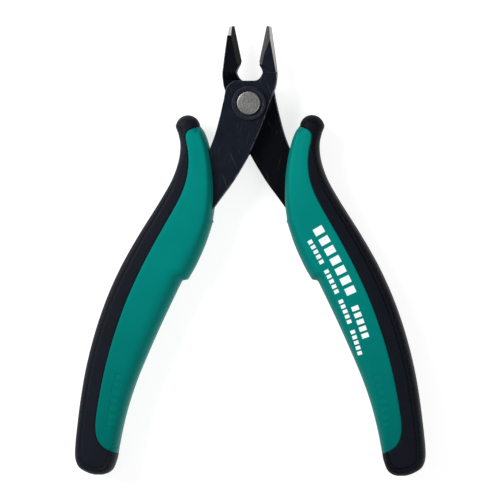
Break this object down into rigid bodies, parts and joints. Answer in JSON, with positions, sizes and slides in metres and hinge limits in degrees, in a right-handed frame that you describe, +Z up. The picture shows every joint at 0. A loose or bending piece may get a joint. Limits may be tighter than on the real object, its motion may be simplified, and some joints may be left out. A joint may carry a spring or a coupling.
{
  "type": "flush cutter",
  "caption": "Small flush cutter for component leads: two black steel levers on a rivet, a hidden return spring and two-tone curved grips, held open.",
  "frame": {"origin": "centre of the open tool's box at its base, on the surface that it lies on", "axes": "+Y along the tool towards the jaw tips, +Z up through its thickness, +X to the right grip's side as seen from above"},
  "size_m": [0.0972, 0.1238, 0.011],
  "materials": {
    "black_oxide_steel": "black oxide, satin, with bare ground facets at the tips",
    "bare_steel": "tumbled, fine speckle",
    "washer_steel": "black oxide, satin",
    "spring_steel": "drawn wire",
    "green_plastic": "fine matt texture",
    "black_rubber": "soft, satin"
  },
  "bodies": {
    "front_half": {"front_lever": "black_oxide_steel", "pivot_rivet": "bare_steel", "front_washer": "washer_steel", "rear_washer": "washer_steel", "return_spring": "spring_steel", "left_grip_body": "green_plastic", "left_grip_cushion": "black_rubber"},
    "rear_half": {"rear_lever": "black_oxide_steel", "right_grip_body": "green_plastic", "right_grip_cushion": "black_rubber"}
  },
  "joints": [
    {"name": "pivot", "type": "hinge", "parent": "front_half", "child": "rear_half", "pos_m": [0, 0.04049, 0.0055], "axis": [0, 0, -1], "range_deg": [0, 23.4], "stiffness_Nm_per_rad": 0.09, "springref_deg": -34.38, "deforming": ["return_spring"]}
  ]
}
